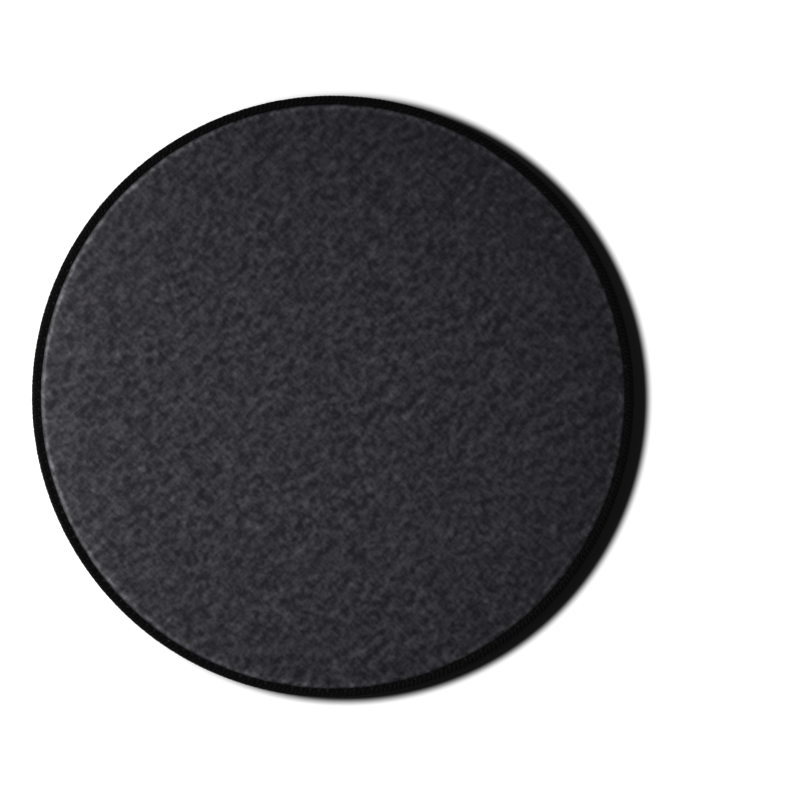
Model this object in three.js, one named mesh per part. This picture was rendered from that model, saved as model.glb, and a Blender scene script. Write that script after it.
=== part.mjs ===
// Round cloth mouse pad with an overlock-stitched edge.
// Millimetres, +Z up. The origin is the middle of the face that rests on the desk.
//
// Cloth, bond film and foam rubber are laminated into one disc. Along the edge the stitches squeeze it: the
// needle thread lies in a groove beside the cloth's rounded shoulder, and two looper yarns wrap the edge from
// there, one over the top and one underneath, and meet halfway down the rim.
//
// Two words are used all through: an inset is a distance inwards from the outermost edge of the pad, and a
// height is a distance up from the desk.

import * as THREE from 'three';

// Driving dimensions: the laminate
const PAD_DIAMETER = 200;
const CLOTH_THICKNESS = 0.5;
const FILM_THICKNESS = 0.1;
const RUBBER_THICKNESS = 2.4;

// Driving dimensions: the seam
const STITCH_LENGTH = 3;
const NEEDLE_INSET = 2.7;
const NEEDLE_THREAD_WIDTH = 0.35;
const YARN_THICKNESS = 0.45;
const YARN_CROWN = 0.6;
const THREAD_CLEARANCE = 0.05;

// Driving dimensions: the laminate beside the seam
const GROOVE_DEPTH = 0.75;
const SHOULDER_WIDTH = 1.7;
const UNDERSIDE_SLOPE = 0.5;

// Shares of the sizes above
const CROWN_INSET_SHARE = 0.5;
const ROLL_INSET_SHARE = 0.1;
const ROLL_HEIGHT_SHARE = 0.35;
const VALLEY_SHARE = 0.45;
const SLANT_SHARE = 0.5;
const SHOULDER_FALL = 1.2;

// Facets
const DISC_FACETS = 104;
const SHOULDER_FACETS = 3;
const STATIONS_PER_STITCH = 2;
const QUARTERS = 4;

// Sizes worked out from them
const OUTER_RADIUS = PAD_DIAMETER / 2;
const RUBBER_TOP = RUBBER_THICKNESS;
const FILM_TOP = RUBBER_TOP + FILM_THICKNESS;
const CLOTH_TOP = FILM_TOP + CLOTH_THICKNESS;
const CUT_EDGE_INSET = YARN_THICKNESS + THREAD_CLEARANCE;
const HALF_NEEDLE_THREAD = NEEDLE_THREAD_WIDTH / 2;
const LOOPER_END_INSET = NEEDLE_INSET - HALF_NEEDLE_THREAD - THREAD_CLEARANCE;
const GROOVE_INSET = NEEDLE_INSET + HALF_NEEDLE_THREAD + THREAD_CLEARANCE;
const UPPER_SEAT = CLOTH_TOP - GROOVE_DEPTH + THREAD_CLEARANCE;
const LOWER_SEAT = YARN_THICKNESS;
const RUBBER_RELIEF = LOWER_SEAT + THREAD_CLEARANCE;
const MEETING_HEIGHT = (UPPER_SEAT + LOWER_SEAT) / 2;
const CROWN_INSET = LOOPER_END_INSET * CROWN_INSET_SHARE;
const ROLL_INSET = LOOPER_END_INSET * ROLL_INSET_SHARE;

// Every quarter of the edge holds the same number of stitches, so the pad is alike from all four sides
const EDGE_LENGTH = 2 * Math.PI * (OUTER_RADIUS - CROWN_INSET);
const STITCH_COUNT = QUARTERS * Math.round(EDGE_LENGTH / STITCH_LENGTH / QUARTERS);
const STATION_COUNT = STITCH_COUNT * STATIONS_PER_STITCH;

// Finishes
const charcoalCloth = new THREE.MeshStandardMaterial({ color: 0x343338, roughness: 0.95, metalness: 0 });
const darkFilm = new THREE.MeshStandardMaterial({ color: 0x302f2d, roughness: 0.55, metalness: 0 });
const blackRubber = new THREE.MeshStandardMaterial({ color: 0x17171a, roughness: 0.8, metalness: 0 });
const blackYarn = new THREE.MeshStandardMaterial({ color: 0x0f0f11, roughness: 0.75, metalness: 0 });
const blackThread = new THREE.MeshStandardMaterial({ color: 0x0a0a0c, roughness: 0.6, metalness: 0 });

// The laminate

// How one face of the laminate runs from the middle to the cut edge: flat, over the shoulder, which steepens
// towards the groove, then flat again under the stitches. The points are [radius, height], from the middle
// outwards.
function pressedFace(flatHeight) {
  const face = [[0, flatHeight]];
  for (let step = 0; step <= SHOULDER_FACETS; step += 1) {
    const turn = (step / SHOULDER_FACETS) * (Math.PI / 2);
    const inset = GROOVE_INSET + SHOULDER_WIDTH * (1 - Math.sin(turn));
    const drop = GROOVE_DEPTH * Math.sin(turn) ** SHOULDER_FALL;
    face.push([OUTER_RADIUS - inset, flatHeight - drop]);
  }
  face.push([OUTER_RADIUS - CUT_EDGE_INSET, flatHeight - GROOVE_DEPTH]);
  return face;
}

// The rubber's face on the desk, with its relief for the lower yarn.
function deskFace() {
  return [
    [0, 0],
    [OUTER_RADIUS - GROOVE_INSET - UNDERSIDE_SLOPE, 0],
    [OUTER_RADIUS - GROOVE_INSET, RUBBER_RELIEF],
    [OUTER_RADIUS - CUT_EDGE_INSET, RUBBER_RELIEF],
  ];
}

// One layer of the laminate, turned about the vertical axis from its lower face and its upper face.
function layerGeometry(lowerFace, upperFace) {
  const profile = [...lowerFace, ...[...upperFace].reverse()];
  const points = profile.map(([radius, height]) => new THREE.Vector2(radius, height));
  const geometry = new THREE.LatheGeometry(points, DISC_FACETS);
  geometry.rotateX(Math.PI / 2);
  return geometry;
}

// The stitches

// A ring of yarn that follows the edge. sectionAt gives the closed outline at a station as [inset, height]
// points, anticlockwise where outwards is to the right and up is up. A stitch slants, so a point that lies
// further in also lies further round.
function threadRing(sectionAt) {
  const stationAngle = (2 * Math.PI) / STATION_COUNT;
  const slantPerInset = (SLANT_SHARE * STATIONS_PER_STITCH * stationAngle) / NEEDLE_INSET;
  const positions = [];
  const indices = [];
  for (let station = 0; station < STATION_COUNT; station += 1) {
    const section = sectionAt(station);
    const here = station * section.length;
    const next = ((station + 1) % STATION_COUNT) * section.length;
    section.forEach(([inset, height], corner) => {
      const angle = station * stationAngle + inset * slantPerInset;
      const radius = OUTER_RADIUS - inset;
      positions.push(radius * Math.cos(angle), radius * Math.sin(angle), height);
      const after = (corner + 1) % section.length;
      indices.push(here + corner, next + corner, next + after);
      indices.push(here + corner, next + after, here + after);
    });
  }
  const geometry = new THREE.BufferGeometry();
  geometry.setAttribute('position', new THREE.Float32BufferAttribute(positions, 3));
  geometry.setIndex(indices);
  geometry.computeVertexNormals();
  return geometry;
}

// How full the yarn is at a station: full on a stitch, and less in the valley between two stitches.
function fullnessAt(station) {
  return station % STATIONS_PER_STITCH === 0 ? 1 : VALLEY_SHARE;
}

// Over the top of the edge band: it rises from the needle line to its crown, rolls over the edge and runs
// down the rim to where it meets the lower yarn.
function upperYarnSection(station) {
  const fullness = fullnessAt(station);
  const rimInset = YARN_THICKNESS * (1 - fullness) / 2;
  return [
    [LOOPER_END_INSET, UPPER_SEAT],
    [YARN_THICKNESS, UPPER_SEAT],
    [YARN_THICKNESS, MEETING_HEIGHT + THREAD_CLEARANCE],
    [rimInset, MEETING_HEIGHT + THREAD_CLEARANCE],
    [ROLL_INSET + rimInset, UPPER_SEAT + YARN_CROWN * fullness * ROLL_HEIGHT_SHARE],
    [CROWN_INSET, UPPER_SEAT + YARN_CROWN * fullness],
  ];
}

// Under the edge band: the same, upside down, with its crown level with the rubber's face on the desk.
function lowerYarnSection(station) {
  const fullness = fullnessAt(station);
  const rimInset = YARN_THICKNESS * (1 - fullness) / 2;
  return [
    [LOOPER_END_INSET, LOWER_SEAT],
    [CROWN_INSET, LOWER_SEAT - YARN_THICKNESS * fullness],
    [ROLL_INSET + rimInset, LOWER_SEAT - YARN_THICKNESS * fullness * ROLL_HEIGHT_SHARE],
    [rimInset, MEETING_HEIGHT],
    [YARN_THICKNESS, MEETING_HEIGHT],
    [YARN_THICKNESS, LOWER_SEAT],
  ];
}

// Along the groove: it dips where the needle went in and stands full between two holes.
function needleThreadSection(station) {
  return [
    [NEEDLE_INSET + HALF_NEEDLE_THREAD, UPPER_SEAT],
    [NEEDLE_INSET - HALF_NEEDLE_THREAD, UPPER_SEAT],
    [NEEDLE_INSET, UPPER_SEAT + NEEDLE_THREAD_WIDTH * fullnessAt(station)],
  ];
}

// The pad

function piece(name, geometry, material) {
  const mesh = new THREE.Mesh(geometry, material);
  mesh.name = name;
  return mesh;
}

const mousePad = new THREE.Group();
mousePad.add(
  piece('rubber_base', layerGeometry(deskFace(), pressedFace(RUBBER_TOP)), blackRubber),
  piece('bond_film', layerGeometry(pressedFace(RUBBER_TOP), pressedFace(FILM_TOP)), darkFilm),
  piece('cloth_top', layerGeometry(pressedFace(FILM_TOP), pressedFace(CLOTH_TOP)), charcoalCloth),
  piece('lower_looper_thread', threadRing(lowerYarnSection), blackYarn),
  piece('upper_looper_thread', threadRing(upperYarnSection), blackYarn),
  piece('needle_thread', threadRing(needleThreadSection), blackThread),
);

export default mousePad;
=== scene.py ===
# Round cloth mouse pad with an overlock-stitched edge.
#
# Lengths are metres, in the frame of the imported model: +Z is up, and the origin is the middle of the face
# that rests on the desk. An inset is a distance inwards from the outermost edge of the pad.

import math

import bmesh
import bpy
from mathutils import Matrix, Vector, noise


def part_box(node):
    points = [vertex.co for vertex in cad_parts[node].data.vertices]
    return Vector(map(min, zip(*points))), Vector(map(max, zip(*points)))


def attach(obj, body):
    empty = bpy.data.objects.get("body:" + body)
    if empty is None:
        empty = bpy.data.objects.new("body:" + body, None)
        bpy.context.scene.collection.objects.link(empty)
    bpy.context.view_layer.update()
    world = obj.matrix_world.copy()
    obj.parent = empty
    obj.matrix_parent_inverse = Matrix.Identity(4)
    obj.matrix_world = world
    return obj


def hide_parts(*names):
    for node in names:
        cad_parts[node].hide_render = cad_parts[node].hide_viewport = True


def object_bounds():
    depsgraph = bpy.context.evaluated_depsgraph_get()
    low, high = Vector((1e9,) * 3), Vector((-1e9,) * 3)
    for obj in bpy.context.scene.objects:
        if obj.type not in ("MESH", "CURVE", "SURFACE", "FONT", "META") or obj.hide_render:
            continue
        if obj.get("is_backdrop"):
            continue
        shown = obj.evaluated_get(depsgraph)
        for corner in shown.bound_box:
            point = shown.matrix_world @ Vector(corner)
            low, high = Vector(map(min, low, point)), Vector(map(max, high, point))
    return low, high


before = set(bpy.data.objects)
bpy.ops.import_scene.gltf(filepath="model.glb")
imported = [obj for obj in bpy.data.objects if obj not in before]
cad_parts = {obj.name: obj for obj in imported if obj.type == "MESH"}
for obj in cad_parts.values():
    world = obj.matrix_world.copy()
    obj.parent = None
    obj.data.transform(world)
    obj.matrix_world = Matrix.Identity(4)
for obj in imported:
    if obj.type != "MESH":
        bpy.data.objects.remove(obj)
cad_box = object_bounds()

# Without a seed of its own this noise starts from the clock, and the yarns would differ from run to run
noise.seed_set(1)

MM = 0.001
FULL_TURN = 2 * math.pi
QUARTERS = 4

# Sizes read from the frame

_, rubber_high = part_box("rubber_base")
_, film_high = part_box("bond_film")
cloth_low, cloth_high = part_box("cloth_top")
_, lower_yarn_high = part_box("lower_looper_thread")
_, upper_yarn_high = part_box("upper_looper_thread")
needle_low, needle_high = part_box("needle_thread")

PAD_RADIUS = cad_box[1].x
CUT_RADIUS = cloth_high.x
RUBBER_TOP = rubber_high.z
FILM_TOP = film_high.z
CLOTH_TOP = cloth_high.z
GROOVE_DEPTH = FILM_TOP - cloth_low.z
GROOVE_FLOOR = CLOTH_TOP - GROOVE_DEPTH
THREAD_CLEARANCE = needle_low.z - GROOVE_FLOOR
NEEDLE_THREAD_WIDTH = needle_high.z - needle_low.z
NEEDLE_RADIUS = needle_high.x - NEEDLE_THREAD_WIDTH / 2
NEEDLE_INSET = PAD_RADIUS - NEEDLE_RADIUS
GROOVE_RADIUS = NEEDLE_RADIUS - NEEDLE_THREAD_WIDTH / 2 - THREAD_CLEARANCE
YARN_THICKNESS = PAD_RADIUS - CUT_RADIUS - THREAD_CLEARANCE
HALF_YARN = YARN_THICKNESS / 2
RELIEF_HEIGHT = YARN_THICKNESS + THREAD_CLEARANCE
CROWN_TOP = upper_yarn_high.z
MEETING_HEIGHT = lower_yarn_high.z

# Sizes that the frame doesn't hold

SHOULDER_WIDTH = 1.7 * MM
SHOULDER_FALL = 1.2
UNDERSIDE_SLOPE = 0.5 * MM
CROWN_INSET = 1.24 * MM
STITCH_LENGTH = 3 * MM
SLANT_SHARE = 0.5

# Every quarter of the edge holds the same number of stitches

EDGE_LENGTH = FULL_TURN * (PAD_RADIUS - CROWN_INSET)
STITCH_COUNT = QUARTERS * round(EDGE_LENGTH / STITCH_LENGTH / QUARTERS)
STITCH_ANGLE = FULL_TURN / STITCH_COUNT


# Shader maths

class Value:
    """A socket that reads like a number, so an expression on it adds its Math nodes."""

    def __init__(self, finish, socket):
        self.finish = finish
        self.socket = socket

    def math(self, operation, *others):
        return self.finish.node("ShaderNodeMath", {"operation": operation}, [self, *others])

    def __add__(self, other):
        return self.math("ADD", other)

    def __sub__(self, other):
        return self.math("SUBTRACT", other)

    def __mul__(self, other):
        return self.math("MULTIPLY", other)

    def __truediv__(self, other):
        return self.math("DIVIDE", other)

    def __mod__(self, other):
        return self.math("FLOORED_MODULO", other)

    def __pow__(self, other):
        return self.math("POWER", other)

    def __rsub__(self, other):
        return self * -1 + other

    __radd__ = __add__
    __rmul__ = __mul__


# The Mix node has sockets for numbers, vectors and colours under the same names, so these go by their places

MIX_FACTOR = 0
MIX_FIRST_COLOUR = 6
MIX_SECOND_COLOUR = 7
MIX_RESULT_COLOUR = 2


class Finish:
    """The nodes of a material or of the world, and the few ways in which they are made."""

    def __init__(self, owner):
        self.owner = owner
        owner.use_nodes = True
        self.tree = owner.node_tree
        self.tree.nodes.clear()

    def node(self, kind, settings=None, values=(), output=0):
        """One node: its settings first, then the values or links of its sockets, by place or by name."""
        node = self.tree.nodes.new(kind)
        for name, setting in (settings or {}).items():
            setattr(node, name, setting)
        pairs = values.items() if isinstance(values, dict) else enumerate(values)
        for key, value in pairs:
            if isinstance(value, Value):
                self.tree.links.new(value.socket, node.inputs[key])
            else:
                node.inputs[key].default_value = value
        return Value(self, node.outputs[output]) if node.outputs else None

    def vector_math(self, operation, values, output=0):
        return self.node("ShaderNodeVectorMath", {"operation": operation}, values, output)

    def coordinates(self, output="Object"):
        return self.node("ShaderNodeTexCoord", output=output)

    def radius(self, middle=(0, 0)):
        """How far a point is from the pad's axis, or from an upright line through another middle."""
        x, y = middle
        flat = self.vector_math("MULTIPLY_ADD", [self.coordinates(), (1, 1, 0), (-x, -y, 0)])
        return self.vector_math("LENGTH", [flat], "Value")

    def split(self, vector):
        parts = self.node("ShaderNodeSeparateXYZ", None, [vector]).socket.node.outputs
        return [Value(self, part) for part in parts]

    def join(self, x, y, z=0.0):
        return self.node("ShaderNodeCombineXYZ", None, [x, y, z])

    def noise(self, vector, scale, detail=2.0, roughness=0.5):
        values = {"Vector": vector, "Scale": scale, "Detail": detail, "Roughness": roughness}
        return self.node("ShaderNodeTexNoise", None, values, "Fac")

    def mix(self, factor, first, second):
        """A colour between two others."""
        values = {MIX_FACTOR: factor, MIX_FIRST_COLOUR: first, MIX_SECOND_COLOUR: second}
        return self.node("ShaderNodeMix", {"data_type": "RGBA"}, values, MIX_RESULT_COLOUR)

    def eased(self, value, start, end, at_start, at_end):
        """Goes smoothly from one level to the other while a value goes from start to end."""
        values = [value, start, end, at_start, at_end]
        return self.node("ShaderNodeMapRange", {"interpolation_type": "SMOOTHSTEP"}, values)

    def hump(self, value, middle, width):
        """1 at the middle, falling off smoothly to both sides."""
        off = (value - middle) / width
        return (off * off * -1).math("EXPONENT")

    def bump(self, height, distance, strength):
        values = {"Strength": strength, "Distance": distance, "Height": height}
        return self.node("ShaderNodeBump", None, values)

    def surface(self, **values):
        names = {name.replace("_", " "): value for name, value in values.items()}
        shader = self.node("ShaderNodeBsdfPrincipled", None, names)
        self.node("ShaderNodeOutputMaterial", None, [shader])
        return self.owner


# Finishes

GREEN_SHARE = 0.985
THREAD_PITCH = 0.52 * MM
CLOTH_TINT = (0.0206, 0.0199, 0.0226)
CLOTH_BLUE_CAST = (0, 0, 0.0018)
YARN_DARKEST = 0.0003


def new_finish(name):
    return Finish(bpy.data.materials.new(name))


def grey(level, blue_share=1.0):
    return (level, level * GREEN_SHARE, level * blue_share, 1)


def charcoal_cloth():
    """Plain-woven melange whose threads run on the diagonals. Lighter and darker fibres streak along the
    threads, most of all along one set. The cloth is smoother over its shoulder and painted paler there as a
    highlight, and it is painted darker as shade at the shoulder's foot by the seam and where the threads dip
    under."""
    finish = new_finish("charcoal_cloth")
    place = finish.coordinates()

    # The threads: x runs along the warp and y along the weft, and both sway a little
    sway = 0.5 * MM
    drift = finish.node("ShaderNodeTexNoise", None, {"Vector": place, "Scale": 90.0, "Detail": 1.0}, "Color")
    swayed = finish.vector_math("MULTIPLY_ADD", [drift, (sway, sway, 0), place])
    diagonal = {"Vector": swayed, "Rotation": (0, 0, -math.pi / 4)}
    x, y, _ = finish.split(finish.node("ShaderNodeMapping", None, diagonal))
    along = x / THREAD_PITCH
    across = y / THREAD_PITCH
    warp = across.math("FLOOR")
    weft = along.math("FLOOR")
    warp_line = (warp + 0.5) * THREAD_PITCH
    weft_line = (weft + 0.5) * THREAD_PITCH
    warp_on_top = ((warp + weft) % 2).math("GREATER_THAN", 0.5)

    def on_top(of_warp, of_weft):
        return of_warp * warp_on_top + of_weft * (1 - warp_on_top)

    # Their round tops, which dip where they go under
    dip = 0.3
    over_warp = (across.math("FRACT") * math.pi).math("SINE")
    over_weft = (along.math("FRACT") * math.pi).math("SINE")
    height = on_top(over_warp * over_weft ** dip, over_weft * over_warp ** dip)

    # Fibres: a stride gives each thread its own place in the noise, and a third coordinate gives a pattern its
    # own slice of it
    warp_stride = 7.31
    weft_stride = 5.77
    fibres = on_top(
        finish.noise(finish.join(along * 0.2, warp * warp_stride), scale=1.0, roughness=0.6),
        finish.noise(finish.join(weft * weft_stride, across * 0.2, 40.0), scale=1.0, roughness=0.6))
    strands = on_top(
        finish.noise(finish.join(along * 1.5, across * 9.0), scale=1.0, detail=1.0),
        finish.noise(finish.join(along * 9.0, across * 1.5, 5.0), scale=1.0, detail=1.0))
    fuzz = finish.noise(place, scale=5200.0, roughness=0.7)

    # Light and dark, from the fibres up to bands of threads, about a mean of 1
    warp_streaks = finish.noise(finish.join(x * 0.45, warp_line), scale=480.0, roughness=0.55)
    weft_streaks = finish.noise(finish.join(weft_line, y * 0.5, 0.3), scale=680.0, roughness=0.55)
    mottles = finish.noise(finish.join(weft_line, warp_line, 0.7), scale=380.0, detail=3.0, roughness=0.6)
    bands = finish.noise(finish.join(x * 0.4, y), scale=190.0, detail=1.0)
    patterns = [(fibres, 0.7), (warp_streaks, 3.6), (weft_streaks, 3.5), (mottles, 2.4), (bands, 1.2)]
    mean = sum(weight for _, weight in patterns) / 2
    spread = sum(pattern * weight for pattern, weight in patterns) - mean
    contrast = 0.39
    darkest = 0.6
    gamma = 2.2
    gain = 1.2
    tone = (spread * contrast + 1).math("MAXIMUM", darkest) ** gamma * gain - (gain - 1)

    # The shoulder: its bend is smoother and gets a painted highlight, and its foot, in the groove by the seam,
    # gets painted shade
    radius = finish.radius()
    # Painted highlight: a band over the shoulder's bend is paler in colour, and smoother (lower roughness)
    brushed_and_painted_highlight = finish.hump(radius, GROOVE_RADIUS - 0.6 * SHOULDER_WIDTH, 0.5 * SHOULDER_WIDTH)
    # Painted shade: the shoulder's foot, in the groove by the seam, is darker in colour
    groove_painted_shade = finish.hump(radius, GROOVE_RADIUS - 0.08 * SHOULDER_WIDTH, 0.3 * SHOULDER_WIDTH)
    # The threads' height also darkens the colour where they dip under, as painted shade
    level = (height * 0.25 + strands * 0.3 + 0.7) * tone * (brushed_and_painted_highlight * 1.2 - groove_painted_shade * 0.8 + 1)
    levels = finish.join(level, level, level)
    relief = (height + strands * 0.35 + fuzz * 0.4) * (brushed_and_painted_highlight * -0.6 + 1)
    return finish.surface(
        Base_Color=finish.vector_math("MULTIPLY_ADD", [CLOTH_TINT, levels, CLOTH_BLUE_CAST]),
        Roughness=brushed_and_painted_highlight * -0.19 + 0.5,
        Specular_IOR_Level=0.09,
        Normal=finish.bump(relief, distance=0.09 * MM, strength=0.6))


def dark_film():
    """Hot-melt film, a little cloudy, painted near-black as shade, for it shows only in the narrow gaps between
    the stitches.
    """
    finish = new_finish("bond_film")
    clouds = finish.noise(finish.coordinates(), scale=300.0, detail=3.0)
    return finish.surface(
        # Painted shade: near-black, since the film shows only in the gaps between the stitches
        Base_Color=finish.mix(clouds, grey(0.02, 0.9), grey(0.04, 0.95)),
        Roughness=0.55,
        Specular_IOR_Level=0.1)


def foam_rubber():
    """Matte foamed rubber with fine pores, painted near-black as shade along the cut edge, which shows in the
    gaps between the yarns.
    """
    finish = new_finish("foam_rubber")
    place = finish.coordinates()
    pores = finish.node("ShaderNodeTexVoronoi", None, {"Vector": place, "Scale": 2600.0}, "Distance")
    grain = finish.noise(place, scale=1800.0, detail=3.0, roughness=0.6)
    clouds = finish.noise(place, scale=35.0, detail=3.0, roughness=0.6)
    # Painted shade: near-black along the cut edge, deep in the gaps between the yarns
    cut = finish.hump(finish.radius(), CUT_RADIUS, 0.6 * MM)
    unshaded_rubber = finish.mix(clouds * (1 - cut), grey(0.010, 1.05), grey(0.026, 1.05))
    return finish.surface(
        Base_Color=finish.mix(cut, unshaded_rubber, grey(0.002)),
        Roughness=grain * 0.2 + 0.68,
        Specular_IOR_Level=0.2,
        Normal=finish.bump(pores * 0.6 + grain * 0.4, distance=0.05 * MM, strength=0.7))


def spun_yarn(name, plies, turns, lightest):
    """Plies that wind round one another, with fine fibres along them. The map runs round the yarn in X and
    along each stitch in Y, so the pattern comes back to its start after one turn and after one stitch."""
    finish = new_finish(name)
    around, along, _ = finish.split(finish.coordinates("UV"))
    wind = (around + along * turns) * FULL_TURN
    stitch = along * FULL_TURN
    ply = (wind * (plies / 2)).math("SINE").math("ABSOLUTE") ** 0.6
    change = 0.8
    fibres = finish.node("ShaderNodeTexNoise", {"noise_dimensions": "4D"}, {
        "Vector": finish.join(wind.math("COSINE"), wind.math("SINE"), stitch.math("COSINE") * change),
        "W": stitch.math("SINE") * change,
        "Scale": 6.0,
        "Detail": 3.0,
        "Roughness": 0.7,
    }, "Fac")
    place = finish.coordinates()
    patches = finish.noise(place, scale=160.0, roughness=0.6)
    fuzz = finish.noise(place, scale=6500.0, roughness=0.7)
    # The grooves between the plies are painted darker as shade; the fibres and patches vary the yarn's own tone
    shade = ply * 0.45 + fibres * 0.35 + patches * 0.2
    return finish.surface(
        Base_Color=finish.mix(shade, grey(YARN_DARKEST), grey(lightest, 1.04)),
        Roughness=fibres * 0.2 + 0.28,
        IOR=1.1,
        Specular_IOR_Level=0.4,
        Normal=finish.bump(ply + fibres * 0.7 + fuzz * 0.25, distance=0.12 * MM, strength=0.9))


# Making pieces

STITCH_WELD = 0.002 * MM


def unique(items):
    """The items in their order, each of them once."""
    return list(dict.fromkeys(items))


def finished_piece(name, bm, material, node, sharp_degrees=None):
    """A piece at the origin with its place in its mesh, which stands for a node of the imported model."""
    bmesh.ops.recalc_face_normals(bm, faces=bm.faces)
    for face in bm.faces:
        face.smooth = True
    if sharp_degrees is not None:
        for edge in bm.edges:
            edge.smooth = edge.calc_face_angle(0) < math.radians(sharp_degrees)
    mesh = bpy.data.meshes.new(name)
    bm.to_mesh(mesh)
    bm.free()
    mesh.materials.append(material)
    piece = bpy.data.objects.new(name, mesh)
    bpy.context.scene.collection.objects.link(piece)
    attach(piece, "root")
    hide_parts(node)
    return piece


def all_round(bm):
    """Copies one stitch's share of a piece round the whole edge and welds the copies together."""
    bmesh.ops.spin(bm, geom=bm.verts[:] + bm.edges[:] + bm.faces[:], cent=(0, 0, 0), axis=(0, 0, 1),
                   angle=FULL_TURN - STITCH_ANGLE, steps=STITCH_COUNT - 1, use_duplicate=True)
    bmesh.ops.remove_doubles(bm, verts=bm.verts, dist=STITCH_WELD)
    return bm


def turned(profile, steps):
    """A solid turned about the pad's axis from (radius, height) points that start and end on the axis, in a
    number of steps for each stitch."""
    bm = bmesh.new()
    verts = [bm.verts.new((radius, 0, height)) for radius, height in profile]
    edges = [bm.edges.new(pair) for pair in zip(verts, verts[1:])]
    bmesh.ops.spin(bm, geom=verts + edges, cent=(0, 0, 0), axis=(0, 0, 1), angle=STITCH_ANGLE, steps=steps)
    return all_round(bm)


def extruded(bm, edges):
    """Extrudes a loop of edges where it stands, and gives the new loop's vertices and edges."""
    new = bmesh.ops.extrude_edge_only(bm, edges=edges)["geom"]
    verts = [item for item in new if isinstance(item, bmesh.types.BMVert)]
    ring = set(verts)
    edges = [item for item in new if isinstance(item, bmesh.types.BMEdge) and ring.issuperset(item.verts)]
    return verts, edges


# The laminate

FLAT_RINGS = 4
SHOULDER_STEPS = 8
CLOTH_STEPS = 8
FILM_STEPS = 2


def pressed_face(height):
    """A face of the laminate as (radius, height) points from the middle outwards: flat, over the shoulder,
    which steepens towards the groove, and flat again under the stitches."""
    points = [(ring / FLAT_RINGS * CUT_RADIUS, height) for ring in range(FLAT_RINGS)]
    for step in range(SHOULDER_STEPS + 1):
        turn = math.pi / 2 * step / SHOULDER_STEPS
        radius = GROOVE_RADIUS - SHOULDER_WIDTH * (1 - math.sin(turn))
        points.append((radius, height - GROOVE_DEPTH * math.sin(turn) ** SHOULDER_FALL))
    points.append((NEEDLE_RADIUS, height - GROOVE_DEPTH))
    points.append((CUT_RADIUS, height - GROOVE_DEPTH))
    return points


def cloth_top():
    """The cloth, drawn down a little further at each needle hole, so that its shoulder puckers. Its underside
    stays where it is in the groove."""
    pucker_depth = 0.07 * MM
    pucker_reach = 1.4 * MM
    groove_underside = cloth_low.z + THREAD_CLEARANCE
    bm = turned(pressed_face(FILM_TOP) + pressed_face(CLOTH_TOP)[::-1], CLOTH_STEPS)
    for vert in bm.verts:
        near_seam = 1 - min(abs(vert.co.xy.length - GROOVE_RADIUS) / pucker_reach, 1)
        stitches_round = math.atan2(vert.co.y, vert.co.x) / STITCH_ANGLE
        at_hole = 0.5 + 0.5 * math.cos(stitches_round * FULL_TURN)
        if vert.co.z > groove_underside:
            vert.co.z -= pucker_depth * near_seam ** 2 * at_hole ** 2
    piece = finished_piece("cloth_disc", bm, charcoal_cloth(), "cloth_top", sharp_degrees=50)


def bond_film():
    bm = turned(pressed_face(RUBBER_TOP) + pressed_face(FILM_TOP)[::-1], FILM_STEPS)
    finished_piece("film_layer", bm, dark_film(), "bond_film", sharp_degrees=50)


def waffle(flat_radius):
    """A disc of shallow square cells that run on the diagonals, cut off round the edge, one cut for each
    stitch. Cells of which the cuts leave too little stay flat."""
    cell = 2.6 * MM
    rib = 0.55 * MM
    depth = 0.16 * MM
    margin = 2 * cell
    smallest_area = (cell * 0.55) ** 2
    touching = 0.0001 * MM
    edge_weld = 0.02 * MM
    bm = bmesh.new()
    cells = 2 * math.ceil(flat_radius * math.sqrt(2) / cell)
    bmesh.ops.create_grid(bm, x_segments=cells, y_segments=cells, size=cells * cell / 2,
                          matrix=Matrix.Rotation(math.pi / 4, 4, "Z"))
    beyond = [vert for vert in bm.verts if vert.co.length > flat_radius + margin]
    bmesh.ops.delete(bm, geom=beyond, context="VERTS")
    for side in range(STITCH_COUNT):
        outward = Vector((math.cos(side * STITCH_ANGLE), math.sin(side * STITCH_ANGLE), 0))
        near = [vert for vert in bm.verts if vert.co.dot(outward) > flat_radius - margin]
        faces = unique(face for vert in near for face in vert.link_faces)
        edges = unique(edge for face in faces for edge in face.edges)
        verts = unique(vert for face in faces for vert in face.verts)
        bmesh.ops.bisect_plane(bm, geom=verts + edges + faces, dist=touching, plane_co=outward * flat_radius,
                               plane_no=outward, clear_outer=True)
    bmesh.ops.remove_doubles(bm, verts=bm.verts, dist=edge_weld)
    whole = [face for face in bm.faces if face.calc_area() > smallest_area]
    bmesh.ops.inset_individual(bm, faces=whole, thickness=rib / 2, depth=0)
    sunk = unique(vert for face in whole if face.is_valid for vert in face.verts)
    bmesh.ops.translate(bm, verts=sunk, vec=(0, 0, depth))
    return bm


def rubber_base():
    """Foam rubber with a waffle underneath. From the waffle's rim the sides follow the relief for the lower
    yarn, the cut edge and the pressed top."""
    bm = waffle(GROOVE_RADIUS - UNDERSIDE_SLOPE)
    rim = [edge for edge in bm.edges if edge.is_boundary]
    pressed_top = pressed_face(RUBBER_TOP)[FLAT_RINGS:]
    for radius, height in [(GROOVE_RADIUS, RELIEF_HEIGHT), (CUT_RADIUS, RELIEF_HEIGHT), *reversed(pressed_top)]:
        verts, rim = extruded(bm, rim)
        for vert in verts:
            outward = Vector((vert.co.x, vert.co.y, 0)).normalized()
            vert.co = outward * radius + Vector((0, 0, height))
    bmesh.ops.contextual_create(bm, geom=rim)
    piece = finished_piece("foam_slab", bm, foam_rubber(), "rubber_base", sharp_degrees=30)


# Yarns

YARN_SIDES = 8
LOOPER_STEPS = 20
LOOPER_SAMPLES = 240
NEEDLE_STEPS = 10
CORNER_CUT = 0.25


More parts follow.
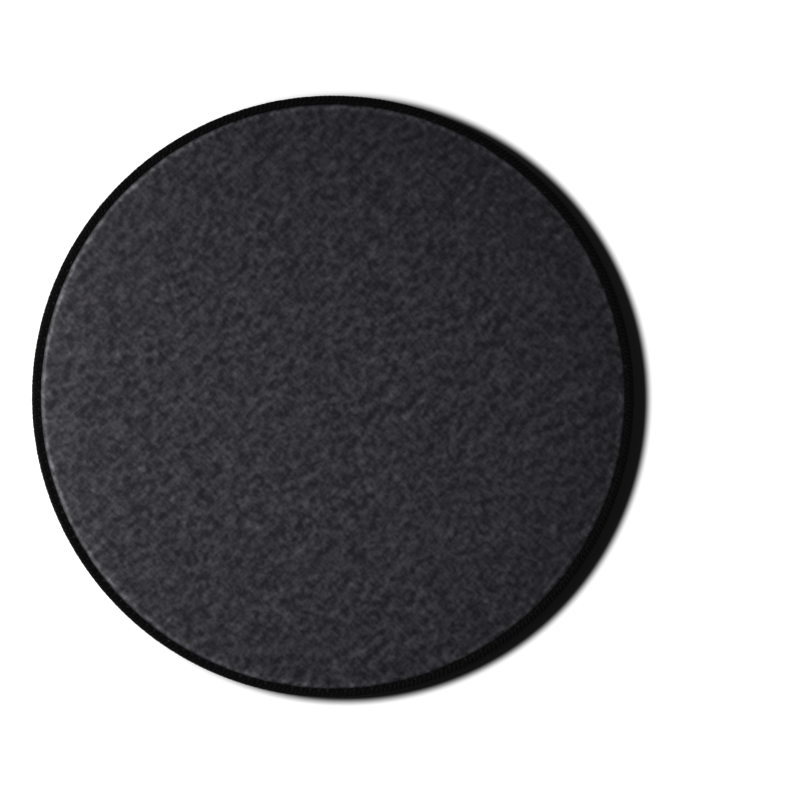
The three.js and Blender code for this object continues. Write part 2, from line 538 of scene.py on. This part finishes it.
def lay_point(stitch_share, inset, height):
    """Where a point of a stitch lies, from its share of the stitch's length along the edge."""
    angle = (stitch_share + SLANT_SHARE * inset / NEEDLE_INSET) * STITCH_ANGLE
    radius = PAD_RADIUS - inset
    return Vector((radius * math.cos(angle), radius * math.sin(angle), height))


def section_matrix(point, ahead, out_of_pad, half_width, half_thickness):
    """Carries a unit circle in the XY plane to the yarn's oval section at a point."""
    forward = ahead.normalized()
    sideways = forward.cross(out_of_pad).normalized()
    up = sideways.cross(forward)
    axes = Matrix((sideways * half_width, up * half_thickness, forward)).transposed()
    return Matrix.Translation(point) @ axes.to_4x4()


def yarn_ring(sections):
    """One stitch of yarn, as a tube extruded through its sections, then copied round the edge and welded
    into one unbroken yarn. The map runs round the yarn in U and along the stitch in V."""
    bm = bmesh.new()
    around = bm.verts.layers.float.new("around")
    along = bm.verts.layers.float.new("along")
    map_layer = bm.loops.layers.uv.new("yarn")
    circle = bmesh.ops.create_circle(bm, segments=YARN_SIDES, radius=1)["verts"]
    for vert in circle:
        vert[around] = (math.atan2(vert.co.y, vert.co.x) / FULL_TURN) % 1
    bmesh.ops.transform(bm, matrix=sections[0], verts=circle)
    edges = bm.edges[:]
    for step, (before, after) in enumerate(zip(sections, sections[1:]), 1):
        ring, edges = extruded(bm, edges)
        bmesh.ops.transform(bm, matrix=after @ before.inverted(), verts=ring)
        for vert in ring:
            vert[along] = step / (len(sections) - 1)
    for face in bm.faces:
        turns = [loop.vert[around] for loop in face.loops]
        wraps = max(turns) - min(turns) > 0.5
        for loop, turn in zip(face.loops, turns):
            loop[map_layer].uv = (turn + 1 if wraps and turn < 0.5 else turn, loop.vert[along])
    return all_round(bm)


def unsettle(bm, amount, size, seed):
    """Moves the yarn a little from its ideal lay, smoothly, so that no two stitches are quite alike."""
    for vert in bm.verts:
        vert.co += noise.noise_vector(vert.co / size + Vector((seed, seed, seed))) * amount


def serpentine(lay):
    """The sections of one stitch of looper yarn, evenly spaced along it. The yarn runs in from the rim, turns
    at the needle line and runs back out, and it moves on along the edge mostly at its turns. lay says how it
    lies at a share of the stitch's length along the edge and a share of the way across the band."""
    sharpness = 0.7
    laid = []
    for sample in range(LOOPER_SAMPLES + 1):
        turn = sample / LOOPER_SAMPLES
        stitch_share = turn + math.sin(2 * FULL_TURN * turn) / (2 * FULL_TURN)
        cosine = math.cos(FULL_TURN * turn)
        share = 0.5 + 0.5 * math.copysign(abs(cosine) ** sharpness, cosine)
        laid.append(lay(stitch_share, share))

    def point_at(sample):
        """A point of the yarn, also just before this stitch or just after it."""
        stitches, sample = divmod(sample, LOOPER_SAMPLES)
        return Matrix.Rotation(stitches * STITCH_ANGLE, 3, "Z") @ laid[sample][0]

    lengths = [0]
    for (before, *_), (after, *_) in zip(laid, laid[1:]):
        lengths.append(lengths[-1] + (after - before).length)
    sections = []
    for step in range(LOOPER_STEPS + 1):
        target = lengths[-1] * step / LOOPER_STEPS
        sample = next(i for i, length in enumerate(lengths) if length >= target)
        ahead = point_at(sample + 1) - point_at(sample - 1)
        point, out_of_pad, half_width, half_thickness = laid[sample]
        sections.append(section_matrix(point, ahead, out_of_pad, half_width, half_thickness))
    return sections


def between(first, second, share):
    """Numbers that lie a share of the way from the first ones to the second ones."""
    return [x + (y - x) * share for x, y in zip(first, second)]


def rounded_knots(knots, passes=2):
    """Rounds the corners of a path of knots by cutting them off."""
    for _ in range(passes):
        cut = [knots[0]]
        for before, after in zip(knots, knots[1:]):
            cut.append(between(before, after, CORNER_CUT))
            cut.append(between(before, after, 1 - CORNER_CUT))
        knots = cut + [knots[-1]]
    return knots


def band_lay(knots, facing):
    """How a looper yarn lies over its half of the edge band. knots are (share across, inset, height, half
    thickness, half width) from the needle line at 0 to the rim at 1, and facing is 1 for the upper yarn and
    -1 for the lower one."""
    knots = rounded_knots(knots)
    reach = 0.06

    def at(share):
        for (nearer, *first), (further, *second) in zip(knots, knots[1:]):
            if share <= further:
                return between(first, second, (share - nearer) / (further - nearer))
        return knots[-1][1:]

    def lay(stitch_share, share):
        inset, height, half_thickness, half_width = at(share)
        point = lay_point(stitch_share, inset, height)
        inner = lay_point(stitch_share, *at(max(share - reach, 0))[:2])
        outer = lay_point(stitch_share, *at(min(share + reach, 1))[:2])
        along_edge = Vector((-point.y, point.x, 0))
        out_of_pad = (outer - inner).cross(along_edge).normalized() * facing
        return point, out_of_pad, half_width, half_thickness

    return lay


def upper_looper_thread():
    """Over the top of the band, from under the needle thread to just below the middle of the rim."""
    crown_half = (CROWN_TOP - GROOVE_FLOOR - THREAD_CLEARANCE) / 2
    end_half = 0.11 * MM
    lay = band_lay([
        (0.00, NEEDLE_INSET - 0.05 * MM, GROOVE_FLOOR + THREAD_CLEARANCE + end_half, end_half, 0.40 * MM),
        (0.18, NEEDLE_INSET - 0.75 * MM, GROOVE_FLOOR + crown_half, crown_half * 0.8, 0.62 * MM),
        (0.38, CROWN_INSET, CROWN_TOP - crown_half, crown_half, 0.74 * MM),
        (0.62, HALF_YARN + 0.1 * MM, CROWN_TOP - 0.42 * MM, crown_half, 0.75 * MM),
        (0.80, HALF_YARN, CROWN_TOP - 0.95 * MM, HALF_YARN, 0.70 * MM),
        (1.00, HALF_YARN, MEETING_HEIGHT + 0.16 * MM, HALF_YARN * 0.9, 0.54 * MM),
    ], facing=1)
    bm = yarn_ring(serpentine(lay))
    unsettle(bm, amount=0.07 * MM, size=2.2 * MM, seed=3.0)
    yarn = spun_yarn("black_yarn_upper", plies=4, turns=2, lightest=0.0034)
    finished_piece("upper_yarn", bm, yarn, "upper_looper_thread")


def lower_looper_thread():
    """Under the band, half a stitch further on, so that its turns on the rim lie between the upper yarn's."""
    offset = 0.5
    end_half = 0.14 * MM
    lay = band_lay([
        (0.00, NEEDLE_INSET - 0.05 * MM, RELIEF_HEIGHT - THREAD_CLEARANCE - end_half, end_half, 0.40 * MM),
        (0.20, NEEDLE_INSET - 0.8 * MM, HALF_YARN + 0.02 * MM, HALF_YARN * 0.95, 0.64 * MM),
        (0.42, CROWN_INSET, HALF_YARN + 0.02 * MM, HALF_YARN, 0.74 * MM),
        (0.66, HALF_YARN + 0.1 * MM, HALF_YARN + 0.14 * MM, HALF_YARN, 0.75 * MM),
        (0.84, HALF_YARN, HALF_YARN + 0.55 * MM, HALF_YARN, 0.70 * MM),
        (1.00, HALF_YARN, MEETING_HEIGHT - 0.16 * MM, HALF_YARN * 0.9, 0.54 * MM),
    ], facing=-1)
    bm = yarn_ring(serpentine(lambda stitch_share, share: lay(stitch_share + offset, share)))
    unsettle(bm, amount=0.04 * MM, size=2.2 * MM, seed=11.0)
    for vert in bm.verts:
        vert.co.z = max(vert.co.z, 0)
    yarn = spun_yarn("black_yarn_lower", plies=4, turns=2, lightest=0.0034)
    finished_piece("lower_yarn", bm, yarn, "lower_looper_thread")


def needle_thread():
    """Along the groove, over the ends of the upper yarn's loops and into the cloth between them."""
    half = 0.155 * MM
    rise = 0.46 * MM
    fullness = 0.6
    sections = []
    for step in range(NEEDLE_STEPS + 1):
        share = step / NEEDLE_STEPS
        turn = FULL_TURN * share
        height = GROOVE_FLOOR - 0.5 * half + rise * (0.5 - 0.5 * math.cos(turn)) ** fullness
        slope = rise * math.pi * math.sin(turn) / (STITCH_ANGLE * NEEDLE_RADIUS)
        point = lay_point(share - SLANT_SHARE, NEEDLE_INSET, height)
        ahead = Vector((-point.y, point.x, 0)).normalized() + Vector((0, 0, slope))
        sections.append(section_matrix(point, ahead, Vector((0, 0, 1)), half, half))
    bm = yarn_ring(sections)
    unsettle(bm, amount=0.03 * MM, size=2.0 * MM, seed=23.0)
    thread = spun_yarn("black_thread", plies=3, turns=3, lightest=0.0030)
    finished_piece("needle_stitches", bm, thread, "needle_thread")


# The pad

rubber_base()
bond_film()
cloth_top()
lower_looper_thread()
upper_looper_thread()
needle_thread()


# Camera, straight above, at the photograph's framing

PICTURE_PX = 800
PAD_CENTRE_PX = (332.8, 396.5)
PAD_RADIUS_PX = 301
CAMERA_HEIGHT = 1.2
CLIP_RANGE = (0.01, 10)
SENSOR_WIDTH = 36


def camera():
    """Its framing is exact at the height of the middle of the rim, where the pad is widest."""
    metres_per_px = PAD_RADIUS / PAD_RADIUS_PX
    lens = bpy.data.cameras.new("camera")
    lens.sensor_width = SENSOR_WIDTH
    lens.lens = SENSOR_WIDTH * CAMERA_HEIGHT / (PICTURE_PX * metres_per_px)
    lens.clip_start, lens.clip_end = CLIP_RANGE
    eye = bpy.data.objects.new("camera", lens)
    eye.location = ((PICTURE_PX / 2 - PAD_CENTRE_PX[0]) * metres_per_px,
                    (PAD_CENTRE_PX[1] - PICTURE_PX / 2) * metres_per_px,
                    CAMERA_HEIGHT + MEETING_HEIGHT)
    bpy.context.scene.collection.objects.link(eye)
    bpy.context.scene.camera = eye


# Light: three soft lamps low on the left, and an even pale surround

LAMP_DISTANCE = 0.55
LAMP_ELEVATION = math.radians(37)
LAMP_AZIMUTH = math.radians(168)
LAMP_TARGET = Vector((-0.055, -0.025, 0))
LAMP_WIDTH = 0.16
LAMP_SPREAD = math.radians(40)
LAMP_DEGREES_AND_WATTS = ((0, 0.155), (-34, 0.075), (34, 0.07))
SURROUND_STRENGTH = 0.2
WHITE = (1, 1, 1, 1)


def lamp(azimuth, watts):
    shape = bpy.data.lights.new("lamp", "AREA")
    shape.shape = "DISK"
    shape.size = LAMP_WIDTH
    shape.spread = LAMP_SPREAD
    shape.energy = watts
    towards = Vector((math.cos(azimuth) * math.cos(LAMP_ELEVATION),
                      math.sin(azimuth) * math.cos(LAMP_ELEVATION),
                      math.sin(LAMP_ELEVATION)))
    stand = bpy.data.objects.new("lamp", shape)
    stand.location = towards * LAMP_DISTANCE + LAMP_TARGET
    stand.rotation_mode = "QUATERNION"
    stand.rotation_quaternion = towards.to_track_quat("Z", "Y")
    bpy.context.scene.collection.objects.link(stand)


def seen_directly(finish):
    """1 on rays from the camera or off a glossy or clear surface, and 0 on rays that light the object."""
    rays = finish.node("ShaderNodeLightPath").socket.node.outputs
    seen = Value(finish, rays["Is Camera Ray"])
    for name in ("Is Glossy Ray", "Is Transmission Ray"):
        seen = seen.math("MAXIMUM", Value(finish, rays[name]))
    return seen


def surround():
    """White to the eye, and dimmer as a light on the object."""
    world = bpy.data.worlds.new("surround")
    bpy.context.scene.world = world
    backdrop = Finish(world)
    strength = seen_directly(backdrop) * (1 - SURROUND_STRENGTH) + SURROUND_STRENGTH
    light = backdrop.node("ShaderNodeBackground", None, {"Color": WHITE, "Strength": strength})
    backdrop.node("ShaderNodeOutputWorld", None, [light])


# Floor

FLOOR_DROP = 0.02 * MM
FLOOR_REACH = 3
FLOOR_PALENESS = 0.9
# Where the floor's painted shadow lies beside the pad, and how dark it is
SHADOW_OFFSET = 4.5 * MM
SHADOW_DEPTH = 0.99


def pale_floor():
    """Pale, with a glow that only the eye sees. The glow makes up what the lamps leave short of white near the
    pad, and further out it is full. A painted shadow, a disc as large as the pad moved away from the lamps,
    darkens the floor's colour and takes the glow away, so that the pad's shadow shows dark."""
    finish = new_finish("pale_floor")
    x, y, _ = finish.split(finish.coordinates())
    shadow_middle = (-math.cos(LAMP_AZIMUTH) * SHADOW_OFFSET, -math.sin(LAMP_AZIMUTH) * SHADOW_OFFSET)
    painted_shadow = finish.eased(
        finish.radius(shadow_middle), PAD_RADIUS * 0.992, PAD_RADIUS * 1.024, at_start=SHADOW_DEPTH, at_end=0.0)
    far = finish.eased(finish.radius(), PAD_RADIUS * 1.1, PAD_RADIUS * 1.5, at_start=0.0, at_end=1.0)
    short_of_white = x * 1.6 + y + x * x * 6.0 + y * y * 14.0 + 0.27
    fill = short_of_white.math("MAXIMUM", far).math("MINIMUM", 1.0) * (1 - painted_shadow)
    # Painted shadow: the floor's colour is darker in the disc beside the pad
    pale = (1 - painted_shadow) * FLOOR_PALENESS
    glow = finish.node("ShaderNodeEmission", None, {"Color": WHITE, "Strength": seen_directly(finish) * fill})
    diffuse = finish.node("ShaderNodeBsdfDiffuse", None, {"Color": finish.join(pale, pale, pale)})
    both = finish.node("ShaderNodeAddShader", None, [diffuse, glow])
    finish.node("ShaderNodeOutputMaterial", None, [both])
    return finish.owner


def floor():
    bm = bmesh.new()
    bmesh.ops.create_grid(bm, x_segments=1, y_segments=1, size=FLOOR_REACH,
                          matrix=Matrix.Translation((0, 0, -FLOOR_DROP)))
    mesh = bpy.data.meshes.new("floor")
    bm.to_mesh(mesh)
    bm.free()
    mesh.materials.append(pale_floor())
    ground = bpy.data.objects.new("floor", mesh)
    bpy.context.scene.collection.objects.link(ground)
    ground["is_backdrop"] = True


camera()
for turned_by, watts in LAMP_DEGREES_AND_WATTS:
    lamp(LAMP_AZIMUTH + math.radians(turned_by), watts)
surround()
floor()
bpy.context.scene.view_settings.view_transform = "Standard"

boxes = {"cad": cad_box, "visual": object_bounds()}
{name: [list(corner) for corner in box] for name, box in boxes.items()}
